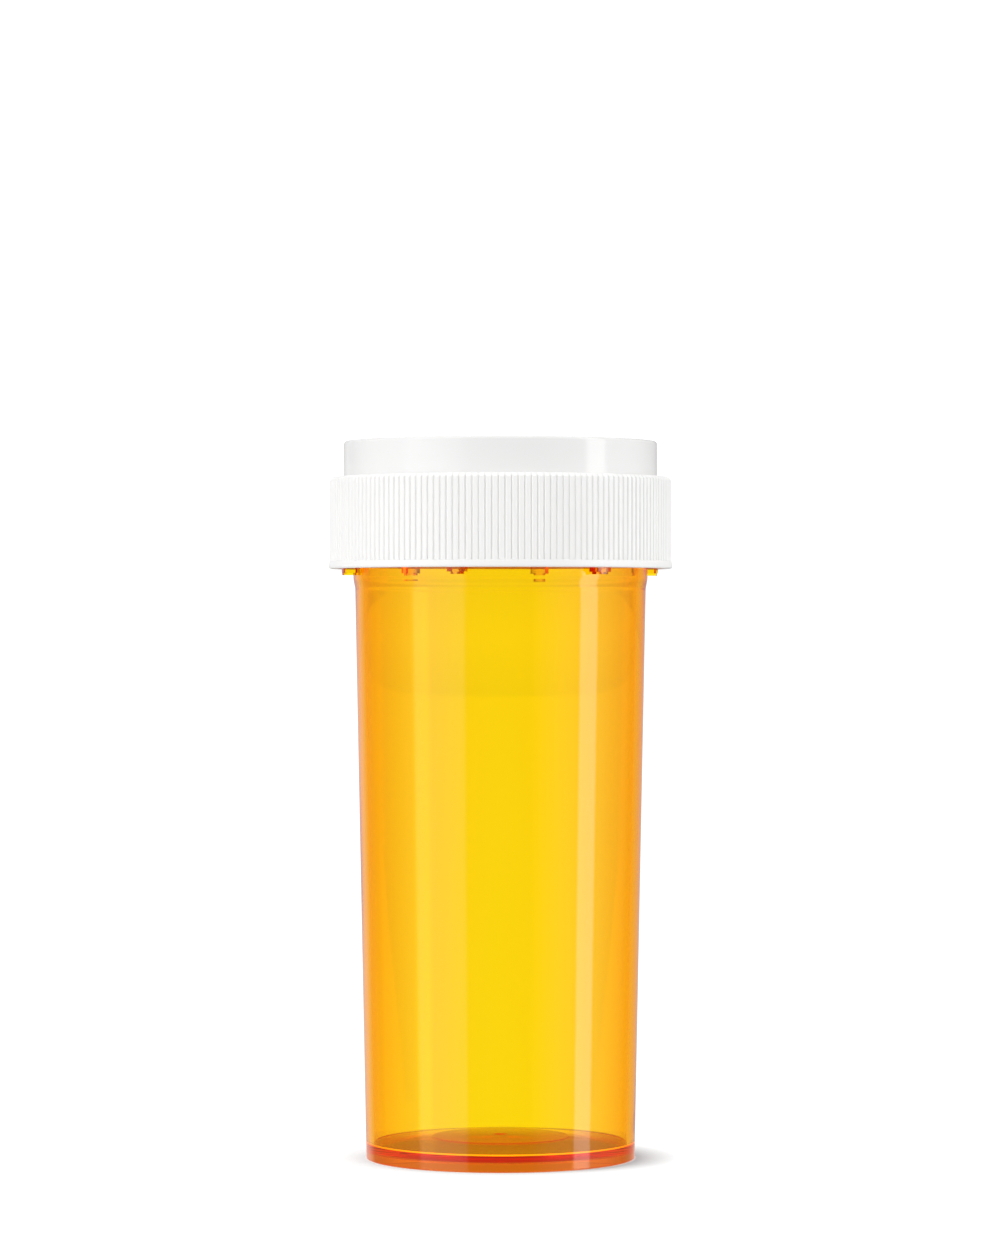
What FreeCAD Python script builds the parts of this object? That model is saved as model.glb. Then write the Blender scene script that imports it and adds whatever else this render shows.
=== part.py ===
import FreeCAD, Part
import math
import os

# Prescription vial with a reversible push-and-turn cap, in millimetres.
# +Z is up the vial's axis. The origin is the middle of the foot, on the plane it stands on,
# and the front faces -Y. The cap is fully home with its lugs in the gaps between the vial's
# locking tabs, so it can lift off, or turn clockwise until the lugs are under the tabs.

# --- vial: draughted wall, foot ring and pushed-up floor ---
FOOT_OUTER_R = 19.45
FOOT_INNER_R = 18.2
BODY_TOP_R = 21.08
BODY_TOP_Z = 82.5
BODY_INNER_R = 19.86       # top of the draughted inner wall, where the bore's foot begins
BODY_INNER_Z = 82.35
FLOOR_THICKNESS = 0.9
FLOOR_R = 18.45            # inside radius at the edge of the floor
FLOOR_EDGE_Z = 2.25        # top of the floor, here and below
DOME_FOOT_R = 10.15
DOME_FOOT_Z = 3.1
DOME_R = 9.85
DOME_EDGE_Z = 3.2
DOME_CROWN_Z = 3.4
GATE_R = 1.1               # sunken moulding gate in the middle of the floor
GATE_DEPTH = 0.15

# --- vial: neck ---
NECK_R = 21.34             # collar that carries the locking tabs
NECK_BOTTOM_Z = 83.9
NECK_TOP_Z = 89.3
FINISH_R = 21.05           # threaded land above the collar
RIM_Z = 96.6
BORE_R = 20.12
BORE_BOTTOM_Z = 84.05
SHOULDER_ROUND = 3.0       # of the jogs from wall to neck, inside and out

# --- locking tabs: a stop, a notch that holds the lug, and a tooth that keeps it there ---
STOP_AZIMUTHS = (-15.8, 39.3, 101.5)   # degrees from the front; the same again half a turn on
FRONT_ANGLE = -90.0
TAB_OUTER_R = 23.2
TAB_TOP_Z = 88.8
NOTCH_CEILING_Z = 87.7
TOOTH_BOTTOM_Z = 86.95
STOP_BOTTOM_Z = 84.75
STOP_TIP_Z = 84.41
STOP_ANGLE = 6.5
STOP_TIP_ANGLE = 3.8
NOTCH_ANGLE = 9.0
TOOTH_ANGLE = 3.0

# --- threads, right-handed ---
THREAD_PITCH = 3.0
THREAD_TURNS = 1.05
THREAD_BASE = 1.4          # width at the root
THREAD_CREST = 0.6         # width at the crest
THREAD_HEIGHT = 0.55
THREAD_SINK = 0.15         # how far the root runs into the wall it stands on
NECK_THREAD_Z = 91.4
RING_THREAD_Z = 98.85

# --- cap: ribbed skirt ---
SKIRT_BOTTOM_Z = 85.37
BAND_TOP_Z = 86.42         # top of the plain band below the ribs
SHOULDER_Z = 98.62
SKIRT_INNER_R = 23.55
RIB_COUNT = 168
RIB_CREST_R = 24.82
RIB_GROOVE_R = 24.58
RIB_CREST_SHARE = 0.58     # share of the pitch taken by the crest
RIB_FLOOR_SHARE = 0.16     # share of the pitch taken by the groove's floor
BAND_BOTTOM_R = 25.06
BAND_ROUND = 0.3
SHOULDER_BEVEL = 0.5

# --- cap: web, smooth threaded ring, and the bead that plugs the neck when the cap is flipped ---
RING_OUTER_R = 22.72
RING_INNER_R = 21.85
RING_TOP_Z = 103.8
RING_TOP_ROUND = 0.38
RING_CHAMFER = 0.25
WEB_BOTTOM_Z = 97.3
CUP_FLOOR_Z = 98.35
CUP_ROUND = 0.2
BEAD_OUTER_R = 19.9
BEAD_INNER_R = 19.1
BEAD_TOP_Z = 99.85
BEAD_ROUND = 0.3

# --- cap: lugs, and the seat and nubs that hold the seal disc ---
LUG_ANGLE = 7.0
LUG_OFFSET = 31.75         # from the middle of a stop to the middle of the lug that meets it
LUG_INNER_R = 22.0
LUG_BOTTOM_Z = 85.6
LUG_TOP_Z = 86.87
SEAT_R = 23.0
SEAT_BOTTOM_Z = 95.9
SEAT_LEAD_IN = 0.5
NUB_COUNT = 6
NUB_ANGLE = 5.0
NUB_INNER_R = 22.6
NUB_TOP_Z = 96.57
NUB_HEIGHT = 0.5
ROOT_OVERLAP = 0.4         # how far moulded-on details run into the wall they stand on

# --- seal disc: a dished, springy disc with a lip that plugs the neck ---
DISC_R = 22.94
DISC_BOTTOM_Z = 96.65
DISC_THICKNESS = 0.6
DISC_ROUND = 0.15
LIP_OUTER_R = 20.05
LIP_INNER_R = 19.35
LIP_DEPTH = 1.1
LIP_CHAMFER = 0.25
DISH_R = 9.0               # flat middle of the dish
DISH_DEPTH = 0.7

AXIS = FreeCAD.Vector(0, 0, 1)
CENTRE = FreeCAD.Vector(0, 0, 0)
CLEAR = 1.0                # how far a cutting shape runs past what it cuts


def corner_arc(before, corner, after, radius):
    """Start, middle and end of the tangent arc that rounds a corner."""
    back = (before - corner).normalize()
    ahead = (after - corner).normalize()
    half_angle = back.getAngle(ahead) / 2
    reach = radius / math.tan(half_angle)
    to_arc = radius / math.sin(half_angle) - radius
    middle = corner + (back + ahead).normalize() * to_arc
    return corner + back * reach, middle, corner + ahead * reach


def rounded_wire(points):
    """Closed wire through (r, z) or (r, z, corner radius) points in the XZ plane."""
    corners = [FreeCAD.Vector(point[0], 0, point[1]) for point in points]
    turns = []
    for i, point in enumerate(points):
        following = corners[(i + 1) % len(corners)]
        if len(point) > 2:
            turns.append(corner_arc(corners[i - 1], corners[i], following, point[2]))
        else:
            turns.append([corners[i]])
    edges = []
    for i, turn in enumerate(turns):
        if len(turn) > 1:
            edges.append(Part.Arc(*turn).toShape())
        edges.append(Part.makeLine(turn[-1], turns[(i + 1) % len(turns)][0]))
    return Part.Wire(edges)


def turned(points, angle_from=0.0, sweep=360.0):
    """Solid of revolution about the vial's axis, from an outline in r and z."""
    solid = Part.Face(rounded_wire(points)).revolve(CENTRE, AXIS, sweep)
    solid.rotate(CENTRE, AXIS, angle_from)
    return solid


def sector(inner_r, outer_r, bottom_z, top_z, angle_from, sweep):
    """Block between two radii, two heights and two angles."""
    outline = [(inner_r, bottom_z), (outer_r, bottom_z), (outer_r, top_z), (inner_r, top_z)]
    return turned(outline, angle_from, sweep)


def stop_angles():
    """Angle about +Z of the middle of each stop."""
    return [FRONT_ANGLE + azimuth + turn for turn in (0, 180) for azimuth in STOP_AZIMUTHS]


def helical_thread(wall_r, height, bottom_z):
    """Thread on a wall: it stands out from the axis if height is above zero, else towards it."""
    root_r = wall_r - math.copysign(THREAD_SINK, height)
    crest_r = wall_r + height
    path = Part.makeHelix(THREAD_PITCH, THREAD_PITCH * THREAD_TURNS, root_r)
    section = [
        FreeCAD.Vector(root_r, 0, -THREAD_BASE / 2),
        FreeCAD.Vector(crest_r, 0, -THREAD_CREST / 2),
        FreeCAD.Vector(crest_r, 0, THREAD_CREST / 2),
        FreeCAD.Vector(root_r, 0, THREAD_BASE / 2),
    ]
    profile = Part.makePolygon(section + section[:1])
    thread = Part.Wire(path).makePipeShell([profile], True, True)
    thread.translate(AXIS * (bottom_z + THREAD_BASE / 2))
    return thread


def vial_shell():
    """Wall, foot ring, pushed-up floor and neck as one turned outline."""
    thickness = FLOOR_THICKNESS
    return turned([
        (0, DOME_CROWN_Z - thickness),
        (DOME_R, DOME_EDGE_Z - thickness, 0.2),
        (DOME_FOOT_R, DOME_FOOT_Z - thickness, 0.2),
        (FOOT_INNER_R, FLOOR_EDGE_Z - thickness, 0.3),
        (FOOT_INNER_R, 0, 0.2),
        (FOOT_OUTER_R, 0, 0.2),
        (BODY_TOP_R, BODY_TOP_Z, SHOULDER_ROUND),
        (NECK_R, NECK_BOTTOM_Z, SHOULDER_ROUND),
        (NECK_R, NECK_TOP_Z),
        (FINISH_R, NECK_TOP_Z + NECK_R - FINISH_R),
        (FINISH_R, RIM_Z, 0.3),
        (BORE_R, RIM_Z, 0.3),
        (BORE_R, BORE_BOTTOM_Z, SHOULDER_ROUND),
        (BODY_INNER_R, BODY_INNER_Z, SHOULDER_ROUND),
        (FLOOR_R, FLOOR_EDGE_Z, 0.25),
        (DOME_FOOT_R, DOME_FOOT_Z, 0.2),
        (DOME_R, DOME_EDGE_Z, 0.2),
        (GATE_R, DOME_CROWN_Z),
        (GATE_R / 2, DOME_CROWN_Z - GATE_DEPTH),
        (0, DOME_CROWN_Z - GATE_DEPTH),
    ])


def locking_tab(stop_angle):
    """Tab on the neck, from its stop round to its tooth in the direction that unlocks."""
    root_r = NECK_R - ROOT_OVERLAP
    start = stop_angle - STOP_ANGLE / 2
    tooth_start = start + STOP_ANGLE + NOTCH_ANGLE
    ledge_sweep = STOP_ANGLE + NOTCH_ANGLE + TOOTH_ANGLE
    blocks = [
        (NOTCH_CEILING_Z, TAB_TOP_Z, start, ledge_sweep),
        (STOP_BOTTOM_Z, NOTCH_CEILING_Z, start, STOP_ANGLE),
        (STOP_TIP_Z, STOP_BOTTOM_Z, stop_angle - STOP_TIP_ANGLE / 2, STOP_TIP_ANGLE),
        (TOOTH_BOTTOM_Z, NOTCH_CEILING_Z, tooth_start, TOOTH_ANGLE),
    ]
    ledge, stop, tip, tooth = [sector(root_r, TAB_OUTER_R, *block) for block in blocks]
    return ledge.fuse([stop, tip, tooth]).removeSplitter()


def vial_body():
    """Amber vial: shell, locking tabs and neck thread moulded in one piece."""
    tabs = [locking_tab(angle) for angle in stop_angles()]
    thread = helical_thread(FINISH_R, THREAD_HEIGHT, NECK_THREAD_Z)
    return vial_shell().fuse(tabs + [thread])


def ribbed_wire():
    """Closed outline of the ribs at z = 0: a crest, a flank, a groove floor and a flank each."""
    pitch = 2 * math.pi / RIB_COUNT
    crest_half = pitch * RIB_CREST_SHARE / 2
    floor_half = pitch * RIB_FLOOR_SHARE / 2

    def at(radius, angle):
        return FreeCAD.Vector(radius * math.cos(angle), radius * math.sin(angle), 0)

    def arc(radius, middle, half):
        ends = at(radius, middle - half), at(radius, middle), at(radius, middle + half)
        return Part.Arc(*ends).toShape()

    edges = []
    for i in range(RIB_COUNT):
        crest = i * pitch
        groove = crest + pitch / 2
        crest_end = at(RIB_CREST_R, crest + crest_half)
        next_crest = at(RIB_CREST_R, crest + pitch - crest_half)
        edges.append(arc(RIB_CREST_R, crest, crest_half))
        edges.append(Part.makeLine(crest_end, at(RIB_GROOVE_R, groove - floor_half)))
        edges.append(arc(RIB_GROOVE_R, groove, floor_half))
        edges.append(Part.makeLine(at(RIB_GROOVE_R, groove + floor_half), next_crest))
    return Part.Wire(edges)


def ribbed_skirt():
    """Outside of the skirt: ribs under a bevelled shoulder, over a plain band."""
    prism = Part.Face(ribbed_wire()).extrude(AXIS * (SHOULDER_Z - BAND_TOP_Z))
    prism.translate(AXIS * BAND_TOP_Z)
    bevelled = turned([
        (0, BAND_TOP_Z - CLEAR),
        (RIB_CREST_R + CLEAR, BAND_TOP_Z - CLEAR),
        (RIB_CREST_R + CLEAR, SHOULDER_Z - SHOULDER_BEVEL - CLEAR),
        (RIB_CREST_R - SHOULDER_BEVEL, SHOULDER_Z),
        (0, SHOULDER_Z),
    ])
    band = turned([
        (0, SKIRT_BOTTOM_Z),
        (BAND_BOTTOM_R, SKIRT_BOTTOM_Z, BAND_ROUND),
        (RIB_CREST_R, BAND_TOP_Z),
        (0, BAND_TOP_Z),
    ])
    return prism.common(bevelled).fuse(band)


def cap_blank():
    """Ribbed skirt and smooth ring, both still solid."""
    ring = turned([
        (0, SHOULDER_Z - CLEAR),
        (RING_OUTER_R, SHOULDER_Z - CLEAR),
        (RING_OUTER_R, RING_TOP_Z, RING_TOP_ROUND),
        (0, RING_TOP_Z),
    ])
    return ribbed_skirt().fuse(ring)


def cap_hollows():
    """Space under the web for the neck and the seal disc, and the open cup above it."""
    below = turned([
        (0, SKIRT_BOTTOM_Z - CLEAR),
        (SKIRT_INNER_R, SKIRT_BOTTOM_Z - CLEAR),
        (SKIRT_INNER_R, SEAT_BOTTOM_Z),
        (SEAT_R, SEAT_BOTTOM_Z + SEAT_LEAD_IN),
        (SEAT_R, WEB_BOTTOM_Z),
        (0, WEB_BOTTOM_Z),
    ])
    above = turned([
        (0, CUP_FLOOR_Z),
        (BEAD_INNER_R, CUP_FLOOR_Z, CUP_ROUND),
        (BEAD_INNER_R, BEAD_TOP_Z, BEAD_ROUND),
        (BEAD_OUTER_R, BEAD_TOP_Z, BEAD_ROUND),
        (BEAD_OUTER_R, CUP_FLOOR_Z, CUP_ROUND),
        (RING_INNER_R, CUP_FLOOR_Z, CUP_ROUND),
        (RING_INNER_R, RING_TOP_Z - RING_CHAMFER),
        (RING_INNER_R + RING_CHAMFER + CLEAR, RING_TOP_Z + CLEAR),
        (0, RING_TOP_Z + CLEAR),
    ])
    return [below, above]


def cap_lugs():
    """Lugs near the skirt's lower edge that lock under the vial's tabs."""
    outer_r = SKIRT_INNER_R + ROOT_OVERLAP
    start = LUG_OFFSET - LUG_ANGLE / 2
    return [
        sector(LUG_INNER_R, outer_r, LUG_BOTTOM_Z, LUG_TOP_Z, angle + start, LUG_ANGLE)
        for angle in stop_angles()
    ]


def disc_nubs():
    """Small nubs under the rim of the seal disc that keep it in the cap."""
    outline = [
        (NUB_INNER_R, NUB_TOP_Z),
        (SEAT_R, NUB_TOP_Z - NUB_HEIGHT),
        (SEAT_R + ROOT_OVERLAP, NUB_TOP_Z - NUB_HEIGHT),
        (SEAT_R + ROOT_OVERLAP, NUB_TOP_Z),
    ]
    return [turned(outline, i * 360.0 / NUB_COUNT, NUB_ANGLE) for i in range(NUB_COUNT)]


def cap_shell():
    """White cap: ribbed skirt, web and threaded ring moulded in one piece."""
    thread = helical_thread(RING_INNER_R, -THREAD_HEIGHT, RING_THREAD_Z)
    hollowed = cap_blank().cut(cap_hollows())
    return hollowed.fuse(cap_lugs() + disc_nubs() + [thread])


def seal_disc():
    """Dished disc that springs the cap up, rests on the rim and plugs the neck."""
    top_z = DISC_BOTTOM_Z + DISC_THICKNESS
    lip_z = DISC_BOTTOM_Z - LIP_DEPTH
    return turned([
        (0, DISC_BOTTOM_Z - DISH_DEPTH),
        (DISH_R, DISC_BOTTOM_Z - DISH_DEPTH),
        (LIP_INNER_R, DISC_BOTTOM_Z),
        (LIP_INNER_R, lip_z + LIP_CHAMFER),
        (LIP_INNER_R + LIP_CHAMFER, lip_z),
        (LIP_OUTER_R - LIP_CHAMFER, lip_z),
        (LIP_OUTER_R, lip_z + LIP_CHAMFER),
        (LIP_OUTER_R, DISC_BOTTOM_Z),
        (DISC_R, DISC_BOTTOM_Z, DISC_ROUND),
        (DISC_R, top_z, DISC_ROUND),
        (LIP_INNER_R, top_z),
        (DISH_R, top_z - DISH_DEPTH),
        (0, top_z - DISH_DEPTH),
    ])


def main():
    os.makedirs("parts", exist_ok=True)
    nodes = {"vial_body": vial_body(), "cap_shell": cap_shell(), "seal_disc": seal_disc()}
    for name, shape in nodes.items():
        print(name, "solids:", len(shape.Solids), "valid:", shape.isValid(), shape.BoundBox)
        shape.exportStep("parts/" + name + ".step")


main()
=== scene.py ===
import math
import bmesh
import bpy
import numpy as np
from mathutils import Matrix, Vector


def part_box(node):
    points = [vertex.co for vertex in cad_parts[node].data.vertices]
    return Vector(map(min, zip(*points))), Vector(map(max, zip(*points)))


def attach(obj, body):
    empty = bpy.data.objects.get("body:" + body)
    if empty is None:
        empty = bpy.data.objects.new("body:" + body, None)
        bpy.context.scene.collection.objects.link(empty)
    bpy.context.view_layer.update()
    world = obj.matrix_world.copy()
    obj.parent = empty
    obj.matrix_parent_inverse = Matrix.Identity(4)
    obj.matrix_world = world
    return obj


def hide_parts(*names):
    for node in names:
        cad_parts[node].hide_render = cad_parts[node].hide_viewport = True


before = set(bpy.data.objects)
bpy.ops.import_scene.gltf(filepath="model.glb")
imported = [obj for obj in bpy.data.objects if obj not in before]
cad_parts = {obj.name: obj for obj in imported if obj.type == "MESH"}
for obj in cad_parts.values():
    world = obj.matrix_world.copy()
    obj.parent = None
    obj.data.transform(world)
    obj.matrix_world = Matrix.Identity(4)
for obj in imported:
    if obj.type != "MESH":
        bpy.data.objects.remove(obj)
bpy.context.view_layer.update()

# Amber prescription vial with a white reversible cap. Metres, +Z up, front facing -Y.
# The three CAD nodes are replaced by finer meshes of the same size, made for refraction
# and for close views; overall heights and radii come from the CAD boxes.

MM = 0.001

# --- heights and radii from the CAD nodes, in millimetres ---
VIAL_LOW, VIAL_HIGH = (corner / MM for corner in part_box("vial_body"))
CAP_LOW, CAP_HIGH = (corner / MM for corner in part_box("cap_shell"))
DISC_LOW, DISC_HIGH = (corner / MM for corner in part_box("seal_disc"))
FOOT_Z = VIAL_LOW.z
RIM_Z = VIAL_HIGH.z
SKIRT_BOTTOM_Z = CAP_LOW.z
RING_TOP_Z = CAP_HIGH.z
BAND_R = CAP_HIGH.x
DISC_R = DISC_HIGH.x
DISC_TOP_Z = DISC_HIGH.z
LIP_BOTTOM_Z = DISC_LOW.z

# --- meshing, lengths in millimetres ---
ARC_STEPS = 6              # straight pieces in a rounded corner
EDGE_ROUND = 0.1           # every edge that has no radius of its own
SHARP_ANGLE = math.radians(32)
SAME = 1e-4                # points closer together than this count as one
SAME_R = 1e-3              # radii closer together than this belong to one wall
FACE_SAG = 0.05            # how far a flat face's middle may lie inside its round wall
VIAL_COLUMNS = 512
DISC_COLUMNS = 256

# --- vial, in millimetres ---
FOOT_OUTER_R = 19.45
FOOT_INNER_R = 18.2
FOOT_ROUND = 0.2
FOOT_CORNER_ROUND = 0.3    # between the foot ring and the underside of the floor
BODY_TOP_R = 21.08
BODY_TOP_Z = 82.5
BODY_INNER_R = 19.86       # inside radius just below the neck, where the wall steps out
BODY_INNER_Z = 82.35
SHOULDER_ROUND = 3.0
FLOOR_THICKNESS = 0.9
FLOOR_R = 18.45
FLOOR_EDGE_Z = 2.25
FLOOR_ROUND = 0.25
DOME_FOOT_R = 10.15
DOME_FOOT_Z = 3.1
DOME_R = 9.85
DOME_EDGE_Z = 3.2
DOME_CROWN_Z = 3.4
DOME_ROUND = 0.2
GATE_R = 1.1
GATE_DEPTH = 0.15
NECK_R = 21.34
NECK_BOTTOM_Z = 83.9
NECK_TOP_Z = 89.3
FINISH_R = 21.05
BORE_R = 20.12
BORE_BOTTOM_Z = 84.05
RIM_ROUND = 0.3

# --- locking tabs ---
STOP_AZIMUTHS = (-15.8, 39.3, 101.5)   # degrees from the front; the same again half a turn on
FRONT_ANGLE = -90.0
TAB_OUTER_R = 23.2
TAB_TOP_Z = 88.8
NOTCH_CEILING_Z = 87.7
TOOTH_BOTTOM_Z = 86.95
STOP_BOTTOM_Z = 84.75
STOP_TIP_Z = 84.41
STOP_ANGLE = 6.5
STOP_TIP_ANGLE = 3.8
NOTCH_ANGLE = 9.0
TOOTH_ANGLE = 3.0
TAB_EDGE_ROUND = 0.12

# --- threads ---
THREAD_PITCH = 3.0
THREAD_TURNS = 1.05
THREAD_BASE = 1.4
THREAD_CREST = 0.6
THREAD_HEIGHT = 0.55
THREAD_FADE = 12.0         # degrees over which a thread grows from the wall at its ends
NECK_THREAD_Z = 91.4
NECK_THREAD_STEP = 0.13    # height between the rows of points that shape the thread
RING_THREAD_Z = 98.85
RING_THREAD_STEP = 0.16

# --- cap ---
RIB_COUNT = 168
RIB_STEPS = (0, 0.16, 0.28, 0.33, 0.37, 0.42, 0.5, 0.58, 0.63, 0.67, 0.72, 0.84)   # columns in a pitch
RIB_PHASE = 0.4            # degrees
CAP_COLUMNS = RIB_COUNT * 2
RIBBED_R = 23.72           # above the band, everything further out than this is ribbed
RIB_CREST_R = 24.82
RIB_DEPTH = 0.24
RIB_CROWN = 0.03           # how much a crest falls off towards its groove
RIB_LEDGE = 0.03           # height over which the grooves run out above the band
RIB_GROOVE_SHARE = 0.42    # share of the pitch between two crests
RIB_FLOOR_SHARE = 0.16
BAND_TOP_Z = 86.42
BAND_TOP_ROUND = 0.06
BAND_ROUND = 0.3
SHOULDER_Z = 98.62
SHOULDER_BEVEL = 0.5
BEVEL_ROUND = 0.3
SKIRT_INNER_R = 23.55
RING_OUTER_R = 22.72
RING_INNER_R = 21.85
RING_TOP_ROUND = 0.38
RING_CHAMFER = 0.25
WEB_BOTTOM_Z = 97.3
CUP_FLOOR_Z = 98.35
CUP_ROUND = 0.2
BEAD_OUTER_R = 19.9
BEAD_INNER_R = 19.1
BEAD_TOP_Z = 99.85
BEAD_ROUND = 0.3
SEAT_R = 23.0
SEAT_BOTTOM_Z = 95.9
SEAT_LEAD_IN = 0.5
LUG_ANGLE = 7.0
LUG_OFFSET = 31.75
LUG_INNER_R = 22.0
LUG_BOTTOM_Z = 85.6
LUG_TOP_Z = 86.87
NUB_COUNT = 6
NUB_ANGLE = 5.0
NUB_INNER_R = 22.6
NUB_TOP_Z = 96.57
NUB_HEIGHT = 0.5

# Flat strips beside a corner, where one section of the cap's outline hands over to the next.
SKIRT_STRIP = 0.4
BAND_STRIP = 0.2
BEVEL_STRIP = 0.2
RING_STRIP = 0.5

# --- seal disc ---
DISC_THICKNESS = 0.6
DISC_ROUND = 0.15
LIP_OUTER_R = 20.05
LIP_INNER_R = 19.35
LIP_ROUND = 0.2
DISH_R = 9.0
DISH_DEPTH = 0.7
DISH_ROUND = 1.0
DISH_BRIM_ROUND = 2.0

# --- plastics; a noise is (features per metre, detail), a relief is in metres ---
NOISE_SPAN = (0.35, 0.65)          # where nearly all of a noise's values lie

AMBER_IOR = 1.49
AMBER_ABSORPTION = (0.997, 0.958, 0.0, 1)
AMBER_DENSITY = 5000.0                      # per metre
AMBER_FACE_TINT = (0.965, 0.99, 1.0, 1)     # the wall seen square on
AMBER_EDGE_TINT = (1.0, 0.6, 0.6, 1)        # and at a grazing angle, where light stays longest in it
AMBER_FLOOR_PAINTED_SHADE = (0.88, 0.36, 0.6, 1)     # painted shade: the wall's tint is multiplied by this over the floor, for the dim orange light the floor sees under it
AMBER_FOOT_PAINTED_SHADE = (1.0, 0.6, 0.6, 1)        # and by this painted shade on the foot ring
AMBER_ROUGHNESS = (0.005, 0.015)
AMBER_HAZE_NOISE = (120, 4)
AMBER_WAVE_NOISE = (90, 1)
AMBER_WAVE_STRETCH = (1, 1, 0.25)           # the waves are long in z, the way the plastic flowed
AMBER_WAVE_RELIEF = 0.00004

# Where those painted shades and the waves begin and end, in millimetres.
BASE_TOP_Z = 3.6           # just over the floor's crown
BASE_FADE = 0.3            # height over which the floor's painted shade ends above that
WAVE_FADE = 3.0            # height over which the waves set in
FLOOR_SHADE_INSETS = (0.4, 0.1)     # inside the foot ring's inner wall, where its painted shade is full and ended
FOOT_FADE = 0.1            # above and below the floor's underside, where the foot's painted shade ends

# Painted glow, standing in for light that has travelled far inside the wall.
PAINTED_GLOW_COLOUR = (1.0, 0.33, 0.05, 1)
TRAPPED_DEPTHS = (4, 9)    # surfaces met before it starts to show, and shows in full
TRAPPED_PAINTED_GLOW = 0.17
CORNER_LINE_Z = 2.42       # thin painted glow line at the corner between floor and wall, in millimetres
CORNER_LINE_HALF = 0.11
CORNER_LINE_REACH = 0.3    # how far past the floor's radius the line reaches
CORNER_PAINTED_GLOW = 1.5
BASE_SKIN = 0.3            # depth of the base's outermost skin, which gets a painted glow, in millimetres
BASE_PAINTED_GLOW = (0.05, 0.3)    # painted glow of that skin seen square on, and at a grazing angle

WHITE_IOR = 1.49
WHITE_RING_COLOUR = (0.86, 0.86, 0.855, 1)
WHITE_SKIRT_COLOUR = (0.94, 0.94, 0.93, 1)
WHITE_SUBSURFACE = 0.15
WHITE_SUBSURFACE_SCALE = 0.0008
WHITE_SUBSURFACE_RADIUS = (1, 0.95, 0.9)
WHITE_RING_ROUGHNESS = 0.08
WHITE_SATIN_ROUGHNESS = 0.3        # added on the skirt
WHITE_SATIN_FADE = 0.1             # millimetres above the shoulder over which the satin ends
WHITE_SMUDGE_ROUGHNESS = 0.06      # the most that smudges add
WHITE_SMUDGE_NOISE = (150, 4)
WHITE_GRAIN_NOISE = (5000, 3)
WHITE_GRAIN_RELIEF = 0.00001

NATURAL_COLOURS = ((0.80, 0.80, 0.77, 1), (0.88, 0.88, 0.86, 1))
NATURAL_CLOUD_NOISE = (200, 3)
NATURAL_SUBSURFACE = 0.5
NATURAL_SUBSURFACE_SCALE = 0.002
NATURAL_ROUGHNESS = (0.32, 0.45)
NATURAL_ROUGHNESS_NOISE = (900, 3)
NATURAL_GRAIN_NOISE = (3000, 3)
NATURAL_GRAIN_RELIEF = 0.00002

# --- studio, which turns with the camera ---
# Brightness by direction: 0 degrees is back towards the camera, + to its right, 180 is straight ahead.
STUDIO_LIGHT = (
    (-180, 0.6), (-165, 0.6), (-150, 0.6), (-138, 0.14), (-120, 0.09), (-90, 0.24),
    (-75, 0.4), (-71, 1.2), (-30, 0.85), (-27, 0.16),
    (25, 0.12), (50, 0.45), (65, 0.5), (67, 3.1), (82, 3.1), (84, 0.65), (100, 0.35),
    (130, 0.07), (140, 0.13), (165, 0.45), (180, 0.6),
)
BACKDROP_LIGHT = 1.17      # the white backdrop: past the object, and through it where the panel is
PANEL_DEPTHS = (0.6, 0.75)         # cosines from the line of sight where the panel ends and is full
PANEL_HEIGHTS = (0.0, 0.12)        # sines above or below that line where it is full and has ended
HAZE_LIGHT = 0.35          # least light seen through the amber plastic, in any direction
FILL_LIGHT = 0.33          # extra light that matt surfaces get from all round
CEILING_HEIGHTS = (0.55, 0.8)      # sines of the elevations where the ceiling light begins and is full
CEILING_LIGHT = 0.9
GROUND_HEIGHTS = (-0.3, -0.7)      # and, below the object, the ground light
GROUND_LIGHT = 0.5

# --- floor ---
FLOOR_HALF_SIZE = 5.0
FLOOR_GAP = 0.00002        # the foot stands this far clear of the floor's surface
FLOOR_COLOUR = (0.5, 0.5, 0.5, 1)           # near the object, where the lamps light it
FLOOR_FAR_GLOW = (BACKDROP_LIGHT,) * 3 + (1,)       # further out it has to match the backdrop
FLOOR_FADE = (0.0200, 0.0275)      # distances from the axis between which it gives way to that
FLOOR_UNDER_PAINTED_LIGHT = (0.64, 0.27, 0.03, 1)    # painted orange light under the vial, standing in for what its walls carry down
FLOOR_UNDER_EDGE = (-0.5, 0.3)     # it ends between these distances from the foot ring's outside, in mm

# --- lamps: name, place, size, power ---
OBJECT_LAMPS = (
    ("key", (-0.7, -0.45, 0.2), (0.5, 0.5), 2.2),
    ("side", (0.7, -0.2, 0.2), (0.5, 0.5), 0.8),
)
FLOOR_LAMPS = (
    ("floor_top", (0.0, 0.0, 1.0), (3.0, 3.0), 22.0),
    ("floor_key", (-0.8, -0.3, 0.5), (0.6, 0.6), 14.0),
)

# --- camera ---
CAMERA_LENS = 132.5
CAMERA_SENSOR = 36.0
CAMERA_SHIFT = -0.0004
CAMERA_PLACE = (0.0, -0.6677, 0.07723)

# --- light paths; clear plastic needs many bounces ---
PLASTIC_BOUNCES = 24
GLOSSY_BOUNCES = 8
DIFFUSE_BOUNCES = 4


# ---------------------------------------------------------------- outlines
def corner_arc(before, corner, after, radius):
    """Points of the tangent arc that rounds a corner."""
    back = (before - corner).normalized()
    ahead = (after - corner).normalized()
    half_angle = back.angle(ahead) / 2
    centre = corner + (back + ahead).normalized() * (radius / math.sin(half_angle))
    start = corner + back * (radius / math.tan(half_angle)) - centre
    sweep = math.copysign(math.pi - 2 * half_angle, ahead.cross(back))
    turns = [Matrix.Rotation(sweep * step / ARC_STEPS, 2) for step in range(ARC_STEPS + 1)]
    return [centre + turn @ start for turn in turns]


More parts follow.
